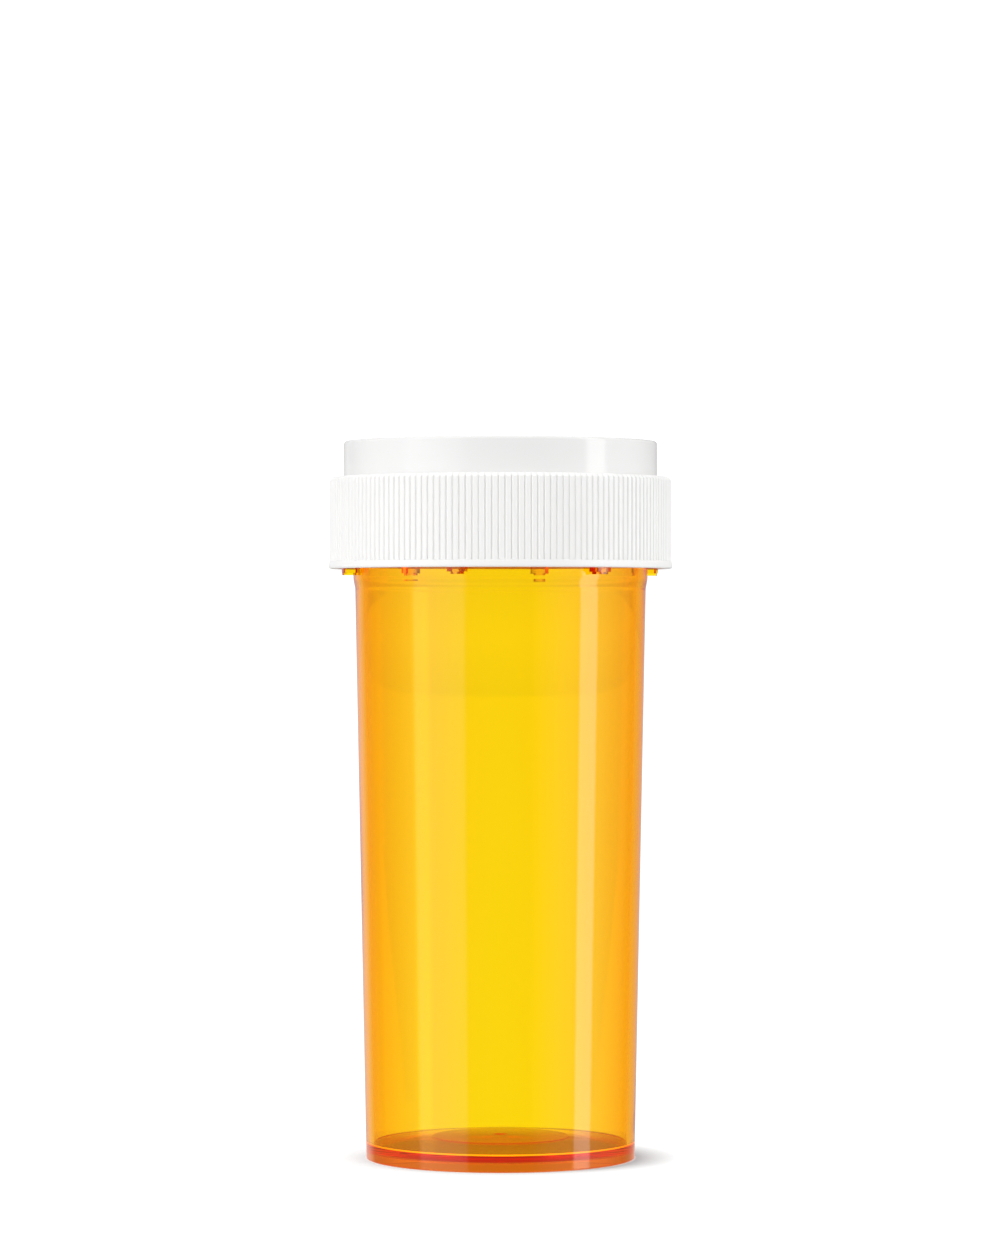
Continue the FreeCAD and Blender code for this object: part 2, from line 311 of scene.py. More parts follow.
def rounded(points):
    """Open outline through (r, z) or (r, z, corner radius) points."""
    corners = [Vector(point[:2]) for point in points]
    outline = []
    for i, point in enumerate(points):
        if len(point) > 2:
            outline += corner_arc(corners[i - 1], corners[i], corners[i + 1], point[2])
        else:
            outline.append(corners[i])
    return outline


def with_rows(outline, radius, levels):
    """The outline with extra points at the given heights on its upright parts of that radius."""
    result = [outline[0]]
    for here, there in zip(outline, outline[1:]):
        if abs(here.x - radius) < SAME and abs(there.x - radius) < SAME:
            low, high = sorted((here.y, there.y))
            inside = [level for level in levels if low + SAME < level < high - SAME]
            inside.sort(reverse=here.y > there.y)
            result += [Vector((radius, level)) for level in inside]
        result.append(there)
    return result


def snapped_angles(count, wanted):
    """Evenly spaced angles in degrees, with the nearest one moved on to each wanted angle."""
    angles = [i * 360.0 / count for i in range(count)]
    for angle in wanted:
        nearest = round(angle * count / 360.0) % count
        angles[nearest] = angles[nearest] + (angle - angles[nearest] + 180) % 360 - 180
    return angles


# ---------------------------------------------------------------- turned meshes
def ring_of(bm, point, angles, reshape):
    """One ring of vertices, or a single vertex where the outline meets the axis."""
    if point.x < SAME:
        return [bm.verts.new((0, 0, point.y * MM))]
    ring = []
    for angle in angles:
        radius = reshape(point.x, point.y, angle) * MM
        turn = math.radians(angle)
        ring.append(bm.verts.new((radius * math.cos(turn), radius * math.sin(turn), point.y * MM)))
    return ring


def stitch(bm, here, there):
    """Faces between two rings. One ring may have a whole number of times the other's vertices."""
    coarse, fine = sorted((here, there), key=len)
    count = len(fine)
    if len(coarse) == 1:
        for i in range(count):
            bm.faces.new((fine[i], fine[(i + 1) % count], coarse[0]))
        return
    share = count // len(coarse)
    for i, corner in enumerate(coarse):
        run = [fine[(i * share + j) % count] for j in range(share + 1)]
        bm.faces.new(run + [coarse[(i + 1) % len(coarse)], corner])


def turn_outline(sections, reshape):
    """Closed skin from outline sections in r and z, each with the angles of its own columns."""
    bm = bmesh.new()
    rings = [
        ring_of(bm, point, angles, reshape)
        for outline, angles in sections for point in outline
    ]
    for here, there in zip(rings, rings[1:]):
        stitch(bm, here, there)
    bmesh.ops.recalc_face_normals(bm, faces=bm.faces)
    return bm


def in_block(face, wall_r, blocks):
    """Whether a face of the wall lies inside one of the blocks."""
    centre = face.calc_center_median() / MM
    if abs(math.hypot(centre.x, centre.y) - wall_r) > FACE_SAG:
        return False
    angle = math.degrees(math.atan2(centre.y, centre.x))
    return any(
        low < centre.z < high and (angle - start) % 360 < (end - start) % 360
        for low, high, start, end in blocks
    )


def raise_blocks(bm, wall_r, new_r, blocks, edge_round):
    """Pushes the parts of a wall inside (z low, z high, angle from, angle to) blocks to new_r."""
    faces = [face for face in bm.faces if in_block(face, wall_r, blocks)]
    raised = bmesh.ops.extrude_face_region(bm, geom=faces)["geom"]
    bmesh.ops.delete(bm, geom=faces, context="FACES_KEEP_BOUNDARY")
    # Dictionaries rather than sets, because these keep one order on every run.
    tops = dict.fromkeys(item for item in raised if isinstance(item, bmesh.types.BMFace))
    for vert in dict.fromkeys(vert for face in tops for vert in face.verts):
        scale = new_r * MM / math.hypot(vert.co.x, vert.co.y)
        vert.co.x *= scale
        vert.co.y *= scale
    rim = [
        edge for edge in dict.fromkeys(edge for face in tops for edge in face.edges)
        if sum(face in tops for face in edge.link_faces) == 1
    ]
    bmesh.ops.bevel(
        bm, geom=rim, offset=edge_round * MM, segments=2, profile=0.5,
        affect="EDGES", clamp_overlap=True,
    )


def thread_ridge(z, angle, bottom_z):
    """Height of a helical thread above its wall, in millimetres."""
    flank = (THREAD_BASE - THREAD_CREST) / 2
    length = 360.0 * THREAD_TURNS
    ridge = 0.0
    for turn in range(math.ceil(THREAD_TURNS)):
        along = angle % 360.0 + 360.0 * turn
        middle = bottom_z + THREAD_BASE / 2 + THREAD_PITCH * along / 360.0
        rise = np.clip((THREAD_BASE / 2 - abs(z - middle)) / flank, 0.0, 1.0)
        fade = np.clip(min(along, length - along) / THREAD_FADE, 0.0, 1.0)
        ridge = max(ridge, THREAD_HEIGHT * rise * fade)
    return ridge


def ordered_faces(bm):
    """Faces as lists of point numbers, in the same order on every run: bevels leave it open."""
    bm.verts.index_update()
    faces = []
    for face in bm.faces:
        numbers = [vert.index for vert in face.verts]
        first = numbers.index(min(numbers))
        faces.append(numbers[first:] + numbers[:first])
    return sorted(faces)


def finish_piece(bm, name, body, node, material):
    """Makes a piece that rides on a body and is shown instead of a CAD node."""
    mesh = bpy.data.meshes.new(name)
    bmesh.ops.recalc_face_normals(bm, faces=bm.faces)
    mesh.from_pydata([vert.co for vert in bm.verts], [], ordered_faces(bm))
    bm.free()
    mesh.shade_smooth()
    mesh.set_sharp_from_angle(angle=SHARP_ANGLE)
    mesh.materials.append(material)
    piece = bpy.data.objects.new(name, mesh)
    bpy.context.scene.collection.objects.link(piece)
    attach(piece, body)
    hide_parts(node)
    return piece


# ---------------------------------------------------------------- the three pieces
def stop_angles():
    """Middles of the six stops, in degrees."""
    return [FRONT_ANGLE + azimuth + turn for turn in (0, 180) for azimuth in STOP_AZIMUTHS]


def tab_blocks():
    """Ledge, stop, tip and tooth of every tab on the neck."""
    blocks = []
    for stop in stop_angles():
        start = stop - STOP_ANGLE / 2
        notch = start + STOP_ANGLE
        tooth = notch + NOTCH_ANGLE
        tip = stop - STOP_TIP_ANGLE / 2
        blocks += [
            (NOTCH_CEILING_Z, TAB_TOP_Z, start, tooth + TOOTH_ANGLE),
            (STOP_BOTTOM_Z, NOTCH_CEILING_Z, start, notch),
            (STOP_TIP_Z, STOP_BOTTOM_Z, tip, tip + STOP_TIP_ANGLE),
            (TOOTH_BOTTOM_Z, NOTCH_CEILING_Z, tooth, tooth + TOOTH_ANGLE),
        ]
    return blocks


def lug_blocks():
    """One lug in each gap between two tabs."""
    starts = [stop + LUG_OFFSET - LUG_ANGLE / 2 for stop in stop_angles()]
    return [(LUG_BOTTOM_Z, LUG_TOP_Z, start, start + LUG_ANGLE) for start in starts]


def nub_blocks():
    """Nubs that snap over the edge of the seal disc."""
    starts = [i * 360.0 / NUB_COUNT for i in range(NUB_COUNT)]
    return [(NUB_TOP_Z - NUB_HEIGHT, NUB_TOP_Z, start, start + NUB_ANGLE) for start in starts]


def block_levels(blocks):
    return {level for block in blocks for level in block[:2]}


def block_angles(blocks):
    return [angle for block in blocks for angle in block[2:]]


def thread_rows(bottom_z, step):
    """Heights of the extra points that a thread needs."""
    top_z = bottom_z + THREAD_BASE + THREAD_PITCH * THREAD_TURNS
    return np.arange(bottom_z, top_z + step, step)


def make_vial(material):
    thickness = FLOOR_THICKNESS
    outline = rounded([
        (0, DOME_CROWN_Z - thickness),
        (DOME_R, DOME_EDGE_Z - thickness, DOME_ROUND),
        (DOME_FOOT_R, DOME_FOOT_Z - thickness, DOME_ROUND),
        (FOOT_INNER_R, FLOOR_EDGE_Z - thickness, FOOT_CORNER_ROUND),
        (FOOT_INNER_R, FOOT_Z, FOOT_ROUND),
        (FOOT_OUTER_R, FOOT_Z, FOOT_ROUND),
        (BODY_TOP_R, BODY_TOP_Z, SHOULDER_ROUND),
        (NECK_R, NECK_BOTTOM_Z, SHOULDER_ROUND),
        (NECK_R, NECK_TOP_Z, EDGE_ROUND),
        (FINISH_R, NECK_TOP_Z + NECK_R - FINISH_R, EDGE_ROUND),
        (FINISH_R, RIM_Z, RIM_ROUND),
        (BORE_R, RIM_Z, RIM_ROUND),
        (BORE_R, BORE_BOTTOM_Z, SHOULDER_ROUND),
        (BODY_INNER_R, BODY_INNER_Z, SHOULDER_ROUND),
        (FLOOR_R, FLOOR_EDGE_Z, FLOOR_ROUND),
        (DOME_FOOT_R, DOME_FOOT_Z, DOME_ROUND),
        (DOME_R, DOME_EDGE_Z, DOME_ROUND),
        (GATE_R, DOME_CROWN_Z, EDGE_ROUND),
        (GATE_R / 2, DOME_CROWN_Z - GATE_DEPTH, EDGE_ROUND),
        (0, DOME_CROWN_Z - GATE_DEPTH),
    ])
    blocks = tab_blocks()
    outline = with_rows(outline, NECK_R, block_levels(blocks))
    outline = with_rows(outline, FINISH_R, thread_rows(NECK_THREAD_Z, NECK_THREAD_STEP))

    def reshape(r, z, angle):
        on_land = abs(r - FINISH_R) < SAME_R and z > NECK_TOP_Z
        return r + thread_ridge(z, angle, NECK_THREAD_Z) if on_land else r

    columns = snapped_angles(VIAL_COLUMNS, block_angles(blocks))
    bm = turn_outline([(outline, columns)], reshape)
    raise_blocks(bm, NECK_R, TAB_OUTER_R, blocks, TAB_EDGE_ROUND)
    return finish_piece(bm, "amber_vial", "vial", "vial_body", material)


def rib_angles():
    """Columns of the ribbed skirt, closer together in the grooves."""
    pitch = 360.0 / RIB_COUNT
    return [
        (rib + step) * pitch + RIB_PHASE
        for rib in range(RIB_COUNT) for step in RIB_STEPS
    ]


def rib_depth(angle):
    """How far the ribbed surface lies below the crests: a slight crown, then a rounded groove."""
    phase = (angle - RIB_PHASE) * RIB_COUNT / 360.0 % 1.0
    from_groove = abs(phase - 0.5)
    flank = (RIB_GROOVE_SHARE - RIB_FLOOR_SHARE) / 2
    groove = np.clip((RIB_GROOVE_SHARE / 2 - from_groove) / flank, 0.0, 1.0)
    crown = 1 - 2 * from_groove
    return RIB_CROWN * crown ** 2 + (RIB_DEPTH - RIB_CROWN) * groove ** 2 * (3 - 2 * groove)


def make_cap(material):
    bevel_r = RIB_CREST_R - SHOULDER_BEVEL
    lower = rounded([
        (0, WEB_BOTTOM_Z),
        (SEAT_R, WEB_BOTTOM_Z, EDGE_ROUND),
        (SEAT_R, SEAT_BOTTOM_Z + SEAT_LEAD_IN),
        (SKIRT_INNER_R, SEAT_BOTTOM_Z),
        (SKIRT_INNER_R, SKIRT_BOTTOM_Z, EDGE_ROUND),
        (SKIRT_INNER_R + SKIRT_STRIP, SKIRT_BOTTOM_Z),
    ])
    skirt = rounded([
        (BAND_R - BAND_ROUND - BAND_STRIP, SKIRT_BOTTOM_Z),
        (BAND_R, SKIRT_BOTTOM_Z, BAND_ROUND),
        (RIB_CREST_R, BAND_TOP_Z, BAND_TOP_ROUND),
        (RIB_CREST_R - RIB_LEDGE, BAND_TOP_Z),
    ])
    ribs = rounded([
        (RIB_CREST_R, BAND_TOP_Z + RIB_LEDGE),
        (RIB_CREST_R, SHOULDER_Z - SHOULDER_BEVEL, BEVEL_ROUND),
        (bevel_r, SHOULDER_Z, EDGE_ROUND),
        (bevel_r - BEVEL_STRIP, SHOULDER_Z),
    ])
    upper = rounded([
        (RING_OUTER_R + RING_STRIP, SHOULDER_Z),
        (RING_OUTER_R, SHOULDER_Z, EDGE_ROUND),
        (RING_OUTER_R, RING_TOP_Z, RING_TOP_ROUND),
        (RING_INNER_R + RING_CHAMFER, RING_TOP_Z, EDGE_ROUND / 2),
        (RING_INNER_R, RING_TOP_Z - RING_CHAMFER, EDGE_ROUND),
        (RING_INNER_R, CUP_FLOOR_Z, CUP_ROUND),
        (BEAD_OUTER_R, CUP_FLOOR_Z, CUP_ROUND),
        (BEAD_OUTER_R, BEAD_TOP_Z, BEAD_ROUND),
        (BEAD_INNER_R, BEAD_TOP_Z, BEAD_ROUND),
        (BEAD_INNER_R, CUP_FLOOR_Z, CUP_ROUND),
        (GATE_R, CUP_FLOOR_Z, EDGE_ROUND),
        (GATE_R / 2, CUP_FLOOR_Z - GATE_DEPTH, EDGE_ROUND),
        (0, CUP_FLOOR_Z - GATE_DEPTH),
    ])
    lugs = lug_blocks()
    nubs = nub_blocks()
    lower = with_rows(lower, SKIRT_INNER_R, block_levels(lugs))
    lower = with_rows(lower, SEAT_R, block_levels(nubs))
    upper = with_rows(upper, RING_INNER_R, thread_rows(RING_THREAD_Z, RING_THREAD_STEP))

    def reshape(r, z, angle):
        if abs(r - RING_INNER_R) < SAME_R:
            return r - thread_ridge(z, angle, RING_THREAD_Z)
        if r > RIBBED_R and z > BAND_TOP_Z + RIB_LEDGE / 2:
            return min(r, RIB_CREST_R - rib_depth(angle))
        return r

    columns = snapped_angles(CAP_COLUMNS, block_angles(lugs + nubs))
    sections = [(lower, columns), (skirt + ribs, rib_angles()), (upper, columns)]
    bm = turn_outline(sections, reshape)
    raise_blocks(bm, SKIRT_INNER_R, LUG_INNER_R, lugs, TAB_EDGE_ROUND)
    raise_blocks(bm, SEAT_R, NUB_INNER_R, nubs, TAB_EDGE_ROUND)
    return finish_piece(bm, "white_cap", "cap", "cap_shell", material)


def make_disc(material):
    bottom_z = DISC_TOP_Z - DISC_THICKNESS
    outline = rounded([
        (0, bottom_z - DISH_DEPTH),
        (DISH_R, bottom_z - DISH_DEPTH, DISH_ROUND),
        (LIP_INNER_R, bottom_z, EDGE_ROUND),
        (LIP_INNER_R, LIP_BOTTOM_Z, LIP_ROUND),
        (LIP_OUTER_R, LIP_BOTTOM_Z, LIP_ROUND),
        (LIP_OUTER_R, bottom_z, EDGE_ROUND),
        (DISC_R, bottom_z, DISC_ROUND),
        (DISC_R, DISC_TOP_Z, DISC_ROUND),
        (LIP_INNER_R, DISC_TOP_Z, DISH_BRIM_ROUND),
        (DISH_R, DISC_TOP_Z - DISH_DEPTH, DISH_ROUND),
        (0, DISC_TOP_Z - DISH_DEPTH),
    ])
    columns = snapped_angles(DISC_COLUMNS, [])
    bm = turn_outline([(outline, columns)], lambda r, z, angle: r)
    return finish_piece(bm, "natural_disc", "disc", "seal_disc", material)


# ---------------------------------------------------------------- materials
def new_material(name):
    """A new material, its nodes, its links and its main shader."""
    material = bpy.data.materials.new(name)
    material.use_nodes = True
    nodes = material.node_tree.nodes
    return material, nodes, material.node_tree.links, nodes["Principled BSDF"]


def math_node(nodes, links, operation, *values):
    """Result of a maths node on numbers or other nodes' outputs."""
    node = nodes.new("ShaderNodeMath")
    node.operation = operation
    for socket, value in zip(node.inputs, values):
        if isinstance(value, (int, float)):
            socket.default_value = value
        else:
            links.new(value, socket)
    return node.outputs[0]


def product(nodes, links, value, *others):
    for other in others:
        value = math_node(nodes, links, "MULTIPLY", value, other)
    return value


def remap(nodes, links, value, low, high, new_low, new_high):
    """Value from low..high to new_low..new_high, clamped."""
    node = nodes.new("ShaderNodeMapRange")
    for socket, number in zip(node.inputs[1:5], (low, high, new_low, new_high)):
        socket.default_value = number
    links.new(value, node.inputs["Value"])
    return node.outputs["Result"]


def mix_colours(nodes, links, share, first, second, blend="MIX"):
    """The first colour with a share of the second; the first may be another node's output."""
    node = nodes.new("ShaderNodeMix")
    node.data_type = "RGBA"
    node.blend_type = blend
    links.new(share, node.inputs["Factor"])
    if isinstance(first, tuple):
        node.inputs["A"].default_value = first
    else:
        links.new(first, node.inputs["A"])
    node.inputs["B"].default_value = second
    return node.outputs["Result"]


def noise(nodes, links, coordinates, scale, detail, stretch=(1, 1, 1)):
    """Noise on object coordinates, scale in features per metre."""
    mapping = nodes.new("ShaderNodeMapping")
    mapping.inputs["Scale"].default_value = stretch
    links.new(coordinates, mapping.inputs["Vector"])
    texture = nodes.new("ShaderNodeTexNoise")
    texture.inputs["Scale"].default_value = scale
    texture.inputs["Detail"].default_value = detail
    links.new(mapping.outputs["Vector"], texture.inputs["Vector"])
    return texture.outputs["Fac"]


def bump(nodes, links, height, distance):
    node = nodes.new("ShaderNodeBump")
    node.inputs["Distance"].default_value = distance
    links.new(height, node.inputs["Height"])
    return node.outputs["Normal"]


def object_coordinates(nodes):
    return nodes.new("ShaderNodeTexCoord").outputs["Object"]


def split(nodes, links, vector):
    """The parts of a vector, by name."""
    node = nodes.new("ShaderNodeSeparateXYZ")
    links.new(vector, node.inputs["Vector"])
    return node.outputs


def axis_distance(nodes, links, coordinates):
    """Distance from the vertical axis, in metres."""
    flat = nodes.new("ShaderNodeVectorMath")
    flat.operation = "MULTIPLY"
    flat.inputs[1].default_value = (1, 1, 0)
    links.new(coordinates, flat.inputs[0])
    length = nodes.new("ShaderNodeVectorMath")
    length.operation = "LENGTH"
    links.new(flat.outputs["Vector"], length.inputs[0])
    return length.outputs["Value"]


def with_painted_base_shade(nodes, links, coordinates, wall_tint):
    """The wall's tint, with painted shade deepening it over the floor and on the foot ring."""
    height = split(nodes, links, coordinates)["Z"]
    radius = axis_distance(nodes, links, coordinates)
    tint_full, tint_end = (FOOT_INNER_R - inset for inset in FLOOR_SHADE_INSETS)
    foot_top = FLOOR_EDGE_Z - FLOOR_THICKNESS
    low = remap(nodes, links, height, BASE_TOP_Z * MM, (BASE_TOP_Z + BASE_FADE) * MM, 1, 0)
    inner = remap(nodes, links, radius, tint_full * MM, tint_end * MM, 1, 0)
    floor = product(nodes, links, low, inner)
    foot = remap(nodes, links, height, (foot_top - FOOT_FADE) * MM, (foot_top + FOOT_FADE) * MM, 1, 0)
    # Painted shade: deeper orange over the floor and on the foot ring, for the dim orange light the
    # base sees below it.
    for share, tint in ((floor, AMBER_FLOOR_PAINTED_SHADE), (foot, AMBER_FOOT_PAINTED_SHADE)):
        wall_tint = mix_colours(nodes, links, share, wall_tint, tint, "MULTIPLY")
    return wall_tint


def painted_glow_strength(nodes, links, coordinates):
    """Strength of a painted glow that stands in for the light the wall carries along inside itself.
    It shows where a view has run a long way inside the plastic, as a thin painted line at the
    corner of the floor, and as a painted glow over the base."""
    rays = nodes.new("ShaderNodeLightPath").outputs
    height = split(nodes, links, coordinates)["Z"]
    radius = axis_distance(nodes, links, coordinates)
    trapped = remap(nodes, links, rays["Ray Depth"], *TRAPPED_DEPTHS, 0, TRAPPED_PAINTED_GLOW)

    # The painted glow line is there only for a view that has come straight in through the outside.
    level = math_node(nodes, links, "COMPARE", height, CORNER_LINE_Z * MM, CORNER_LINE_HALF * MM)
    inside = math_node(nodes, links, "LESS_THAN", radius, (FLOOR_R + CORNER_LINE_REACH) * MM)
    straight_in = math_node(nodes, links, "COMPARE", rays["Ray Depth"], 1, 0.5)
    line = product(nodes, links, level, inside, straight_in)
    painted_glow = math_node(nodes, links, "MULTIPLY_ADD", line, CORNER_PAINTED_GLOW, trapped)

    # The painted glow over the base is on its outside, below the line.
    below = math_node(nodes, links, "LESS_THAN", height, (CORNER_LINE_Z - CORNER_LINE_HALF) * MM)
    outside = math_node(nodes, links, "GREATER_THAN", radius, (FOOT_OUTER_R - BASE_SKIN) * MM)
    skin = product(nodes, links, below, outside, rays["Is Camera Ray"])
    facing = nodes.new("ShaderNodeLayerWeight").outputs["Facing"]
    haze_and_painted_glow = remap(nodes, links, facing, 0, 1, *BASE_PAINTED_GLOW)
    return math_node(nodes, links, "MULTIPLY_ADD", skin, haze_and_painted_glow, painted_glow)


def amber_material():
    """Clear amber polypropylene with faint flow waves, glossy, absorbing blue in its thickness."""
    material, nodes, links, shader = new_material("amber")
    coordinates = object_coordinates(nodes)
    shader.inputs["IOR"].default_value = AMBER_IOR
    shader.inputs["Transmission Weight"].default_value = 1
    facing = nodes.new("ShaderNodeLayerWeight").outputs["Facing"]
    tint = mix_colours(nodes, links, facing, AMBER_FACE_TINT, AMBER_EDGE_TINT)
    # Base colour with the painted shade over the floor and foot ring.
    links.new(with_painted_base_shade(nodes, links, coordinates, tint), shader.inputs["Base Color"])
    haze_and_painted_glow = noise(nodes, links, coordinates, *AMBER_HAZE_NOISE)
    links.new(remap(nodes, links, haze_and_painted_glow, *NOISE_SPAN, *AMBER_ROUGHNESS), shader.inputs["Roughness"])
    height = split(nodes, links, coordinates)["Z"]
    above = remap(nodes, links, height, BASE_TOP_Z * MM, (BASE_TOP_Z + WAVE_FADE) * MM, 0, 1)
    waves = noise(nodes, links, coordinates, *AMBER_WAVE_NOISE, AMBER_WAVE_STRETCH)
    waves = product(nodes, links, waves, above)
    links.new(bump(nodes, links, waves, AMBER_WAVE_RELIEF), shader.inputs["Normal"])
    # Painted glow: emission standing in for light that the wall carries inside itself.
    shader.inputs["Emission Color"].default_value = PAINTED_GLOW_COLOUR
    links.new(painted_glow_strength(nodes, links, coordinates), shader.inputs["Emission Strength"])
    absorption = nodes.new("ShaderNodeVolumeAbsorption")
    absorption.inputs["Color"].default_value = AMBER_ABSORPTION
    absorption.inputs["Density"].default_value = AMBER_DENSITY
    links.new(absorption.outputs["Volume"], nodes["Material Output"].inputs["Volume"])
    return material


def white_material():
    """White polypropylene: satin and finely textured on the ribbed skirt, glossy on the ring."""
    material, nodes, links, shader = new_material("white_cap")
    coordinates = object_coordinates(nodes)
    shader.inputs["IOR"].default_value = WHITE_IOR
    shader.inputs["Subsurface Weight"].default_value = WHITE_SUBSURFACE
    shader.inputs["Subsurface Scale"].default_value = WHITE_SUBSURFACE_SCALE
    shader.inputs["Subsurface Radius"].default_value = WHITE_SUBSURFACE_RADIUS
    height = split(nodes, links, coordinates)["Z"]
    satin_end = SHOULDER_Z + WHITE_SATIN_FADE
    satin = remap(nodes, links, height, SHOULDER_Z * MM, satin_end * MM, 1, 0)
    colour = mix_colours(nodes, links, satin, WHITE_RING_COLOUR, WHITE_SKIRT_COLOUR)
    links.new(colour, shader.inputs["Base Color"])
    smudges = noise(nodes, links, coordinates, *WHITE_SMUDGE_NOISE)
    smudges = remap(nodes, links, smudges, *NOISE_SPAN, 0, WHITE_SMUDGE_ROUGHNESS)
    roughness = math_node(nodes, links, "MULTIPLY_ADD", satin, WHITE_SATIN_ROUGHNESS, smudges)
    roughness = math_node(nodes, links, "ADD", roughness, WHITE_RING_ROUGHNESS)
    links.new(roughness, shader.inputs["Roughness"])
    grain = product(nodes, links, noise(nodes, links, coordinates, *WHITE_GRAIN_NOISE), satin)
    links.new(bump(nodes, links, grain, WHITE_GRAIN_RELIEF), shader.inputs["Normal"])
    return material


def natural_material():
    """Uncoloured milky polyethylene."""
    material, nodes, links, shader = new_material("natural_disc")
    coordinates = object_coordinates(nodes)
    clouds = noise(nodes, links, coordinates, *NATURAL_CLOUD_NOISE)
    links.new(mix_colours(nodes, links, clouds, *NATURAL_COLOURS), shader.inputs["Base Color"])
    shader.inputs["Subsurface Weight"].default_value = NATURAL_SUBSURFACE
    shader.inputs["Subsurface Scale"].default_value = NATURAL_SUBSURFACE_SCALE
    patches = noise(nodes, links, coordinates, *NATURAL_ROUGHNESS_NOISE)
    links.new(remap(nodes, links, patches, *NOISE_SPAN, *NATURAL_ROUGHNESS), shader.inputs["Roughness"])
    grain = noise(nodes, links, coordinates, *NATURAL_GRAIN_NOISE)
    links.new(bump(nodes, links, grain, NATURAL_GRAIN_RELIEF), shader.inputs["Normal"])
    return material


# ---------------------------------------------------------------- studio
def light_by_azimuth(nodes, links, azimuth):
    """The studio's brightness in a direction, given in radians as STUDIO_LIGHT gives it in degrees."""
    share = math_node(nodes, links, "MULTIPLY_ADD", azimuth, 0.5 / math.pi, 0.5)
    ramp = nodes.new("ShaderNodeValToRGB")
    elements = ramp.color_ramp.elements
    while len(elements) < len(STUDIO_LIGHT):
        elements.new(0.5)
    brightest = max(light for angle, light in STUDIO_LIGHT)
    for element, (angle, light) in zip(elements, STUDIO_LIGHT):
        element.position = angle / 360.0 + 0.5
        element.color = (light / brightest,) * 3 + (1,)
    links.new(share, ramp.inputs["Fac"])
    return math_node(nodes, links, "MULTIPLY", ramp.outputs["Color"], brightest)


def make_world():
    """Studio round the camera: the light from each side depends on the angle from the camera."""
    world = bpy.data.worlds.new("studio")
    bpy.context.scene.world = world
    world.use_nodes = True
    nodes, links = world.node_tree.nodes, world.node_tree.links
    coordinates = nodes.new("ShaderNodeTexCoord").outputs
    rays = nodes.new("ShaderNodeLightPath").outputs
    seen = split(nodes, links, coordinates["Camera"])
    up = split(nodes, links, coordinates["Generated"])["Z"]

    behind = math_node(nodes, links, "MULTIPLY", seen["Z"], -1.0)
    around = light_by_azimuth(nodes, links, math_node(nodes, links, "ARCTAN2", seen["X"], behind))

    # Straight ahead, the plastic shows the backdrop instead.
    height = math_node(nodes, links, "ABSOLUTE", seen["Y"])
    panel = product(
        nodes, links,
        remap(nodes, links, seen["Z"], *PANEL_DEPTHS, 0, 1),
        remap(nodes, links, height, *PANEL_HEIGHTS, 1, 0),
        rays["Is Transmission Ray"],
    )
    difference = math_node(nodes, links, "SUBTRACT", BACKDROP_LIGHT, around)
    around = math_node(nodes, links, "MULTIPLY_ADD", panel, difference, around)

    ceiling = remap(nodes, links, up, *CEILING_HEIGHTS, 0, 1)
    ground = remap(nodes, links, up, *GROUND_HEIGHTS, 0, 1)
    open_share = math_node(nodes, links, "SUBTRACT", 1, ceiling)
    open_share = math_node(nodes, links, "SUBTRACT", open_share, ground)
    total = product(nodes, links, around, open_share)
    for share, light in (
        (ceiling, CEILING_LIGHT), (ground, GROUND_LIGHT), (rays["Is Diffuse Ray"], FILL_LIGHT),
    ):
        total = math_node(nodes, links, "MULTIPLY_ADD", share, light, total)

    # The least that each kind of ray finds, in any direction.
    for kind, least in (("Is Transmission Ray", HAZE_LIGHT), ("Is Camera Ray", BACKDROP_LIGHT)):
        total = math_node(nodes, links, "MAXIMUM", product(nodes, links, rays[kind], least), total)
    links.new(total, nodes["Background"].inputs["Strength"])
    nodes["Background"].inputs["Color"].default_value = (1, 1, 1, 1)


def floor_material():
    """Painted orange light under the vial, shaded round it, white further out, and clear from below."""
    material, nodes, links, shader = new_material("floor")
    shader.inputs["Base Color"].default_value = FLOOR_COLOUR
    shader.inputs["Roughness"].default_value = 1
    shader.inputs["Specular IOR Level"].default_value = 0
    from_axis = axis_distance(nodes, links, object_coordinates(nodes))
    under_end = [(FOOT_OUTER_R + edge) * MM for edge in FLOOR_UNDER_EDGE]
    under_vial_painted_light = remap(nodes, links, from_axis, *under_end, 1, 0)
    far = remap(nodes, links, from_axis, *FLOOR_FADE, 0, 1)
    # Emission: painted orange light under the vial, and the backdrop's even white further out.
    glow = nodes.new("ShaderNodeEmission")
    colour = mix_colours(nodes, links, under_vial_painted_light, FLOOR_FAR_GLOW, FLOOR_UNDER_PAINTED_LIGHT)
    links.new(colour, glow.inputs["Color"])
    blend = nodes.new("ShaderNodeMixShader")
    links.new(math_node(nodes, links, "ADD", under_vial_painted_light, far), blend.inputs["Fac"])
    links.new(shader.outputs["BSDF"], blend.inputs[1])
    links.new(glow.outputs["Emission"], blend.inputs[2])
    open_below = nodes.new("ShaderNodeMixShader")
    links.new(nodes.new("ShaderNodeNewGeometry").outputs["Backfacing"], open_below.inputs["Fac"])
    links.new(blend.outputs["Shader"], open_below.inputs[1])
    links.new(nodes.new("ShaderNodeBsdfTransparent").outputs["BSDF"], open_below.inputs[2])
    links.new(open_below.outputs["Shader"], nodes["Material Output"].inputs["Surface"])
    return material


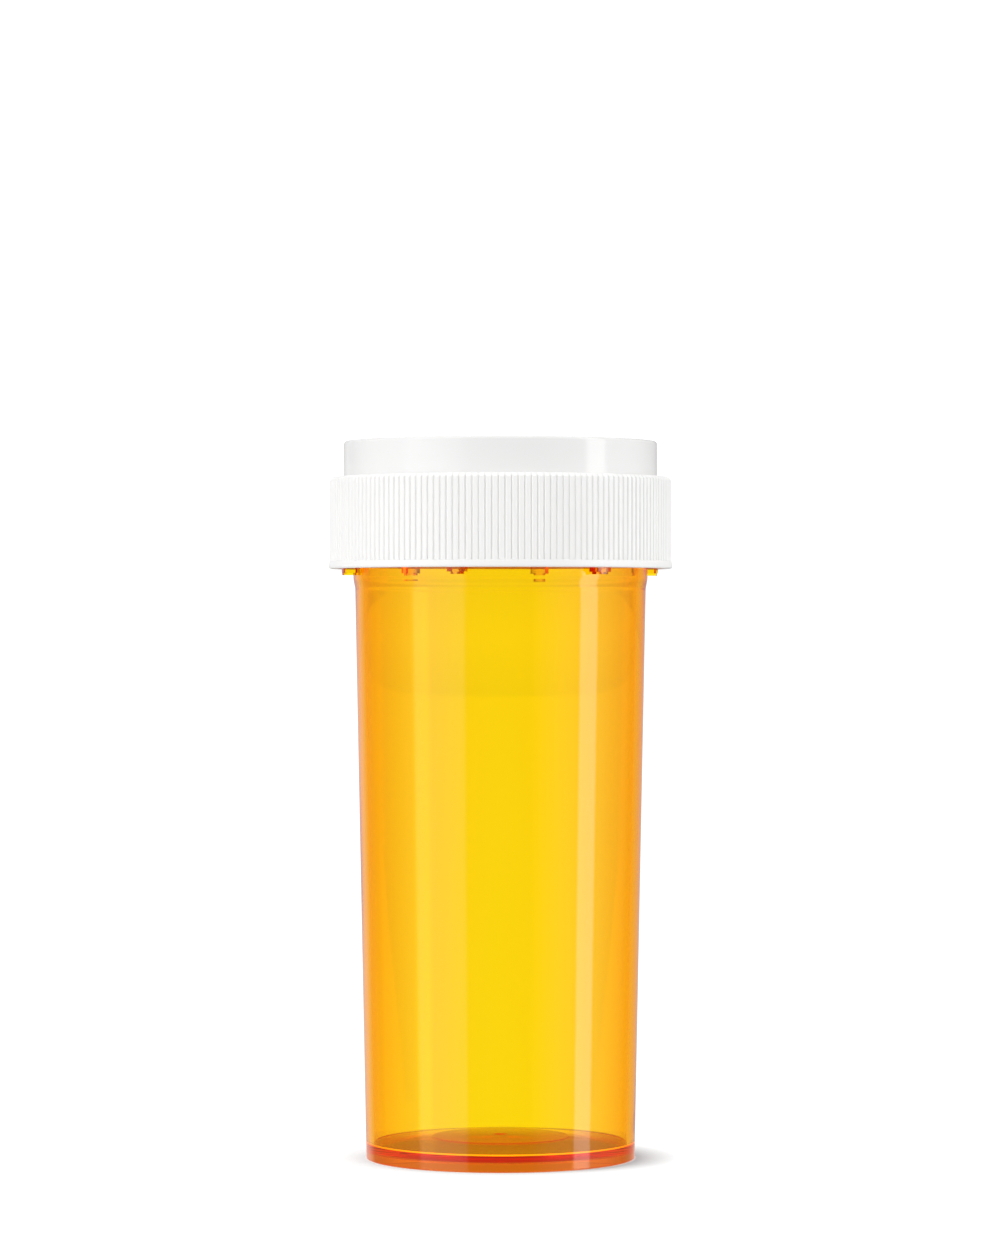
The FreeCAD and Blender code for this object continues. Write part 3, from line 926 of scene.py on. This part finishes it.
def make_floor():
    """Large square floor that neither reflections nor matt surfaces pick up."""
    bm = bmesh.new()
    half = FLOOR_HALF_SIZE
    corners = ((-half, -half), (half, -half), (half, half), (-half, half))
    bm.faces.new([bm.verts.new((x, y, 0)) for x, y in corners])
    mesh = bpy.data.meshes.new("floor")
    bm.to_mesh(mesh)
    bm.free()
    mesh.materials.append(floor_material())
    floor = bpy.data.objects.new("floor", mesh)
    floor.location.z = -FLOOR_GAP
    floor.visible_glossy = False
    floor.visible_diffuse = False
    bpy.context.scene.collection.objects.link(floor)
    return floor


def make_lamp(name, place, size, power):
    """Soft rectangular lamp aimed at the middle of the object; it lights but isn't seen."""
    data = bpy.data.lights.new(name, "AREA")
    data.shape = "RECTANGLE"
    data.size, data.size_y = size
    data.energy = power
    lamp = bpy.data.objects.new(name, data)
    lamp.location = place
    target = Vector((0, 0, RING_TOP_Z * MM / 2))
    lamp.rotation_euler = (target - lamp.location).to_track_quat("-Z", "Y").to_euler()
    lamp.visible_camera = False
    lamp.visible_glossy = False
    lamp.visible_transmission = False
    bpy.context.scene.collection.objects.link(lamp)
    return lamp


def light_only(lamp, piece):
    """Keeps a lamp's light to one object; everything still throws its shadow there."""
    receivers = bpy.data.collections.new(lamp.name + "_receivers")
    receivers.objects.link(piece)
    lamp.light_linking.receiver_collection = receivers


def make_camera():
    data = bpy.data.cameras.new("camera")
    data.lens = CAMERA_LENS
    data.sensor_width = CAMERA_SENSOR
    data.shift_x = CAMERA_SHIFT
    camera = bpy.data.objects.new("camera", data)
    camera.location = CAMERA_PLACE
    camera.rotation_euler = (math.pi / 2, 0, 0)
    bpy.context.scene.collection.objects.link(camera)
    bpy.context.scene.camera = camera


def main():
    make_vial(amber_material())
    make_cap(white_material())
    make_disc(natural_material())
    make_world()
    floor = make_floor()
    for lamp in OBJECT_LAMPS:
        make_lamp(*lamp)
    for lamp in FLOOR_LAMPS:
        light_only(make_lamp(*lamp), floor)
    make_camera()
    bpy.context.scene.view_settings.view_transform = "Standard"
    cycles = bpy.context.scene.cycles
    cycles.max_bounces = PLASTIC_BOUNCES
    cycles.transmission_bounces = PLASTIC_BOUNCES
    cycles.glossy_bounces = GLOSSY_BOUNCES
    cycles.diffuse_bounces = DIFFUSE_BOUNCES


main()
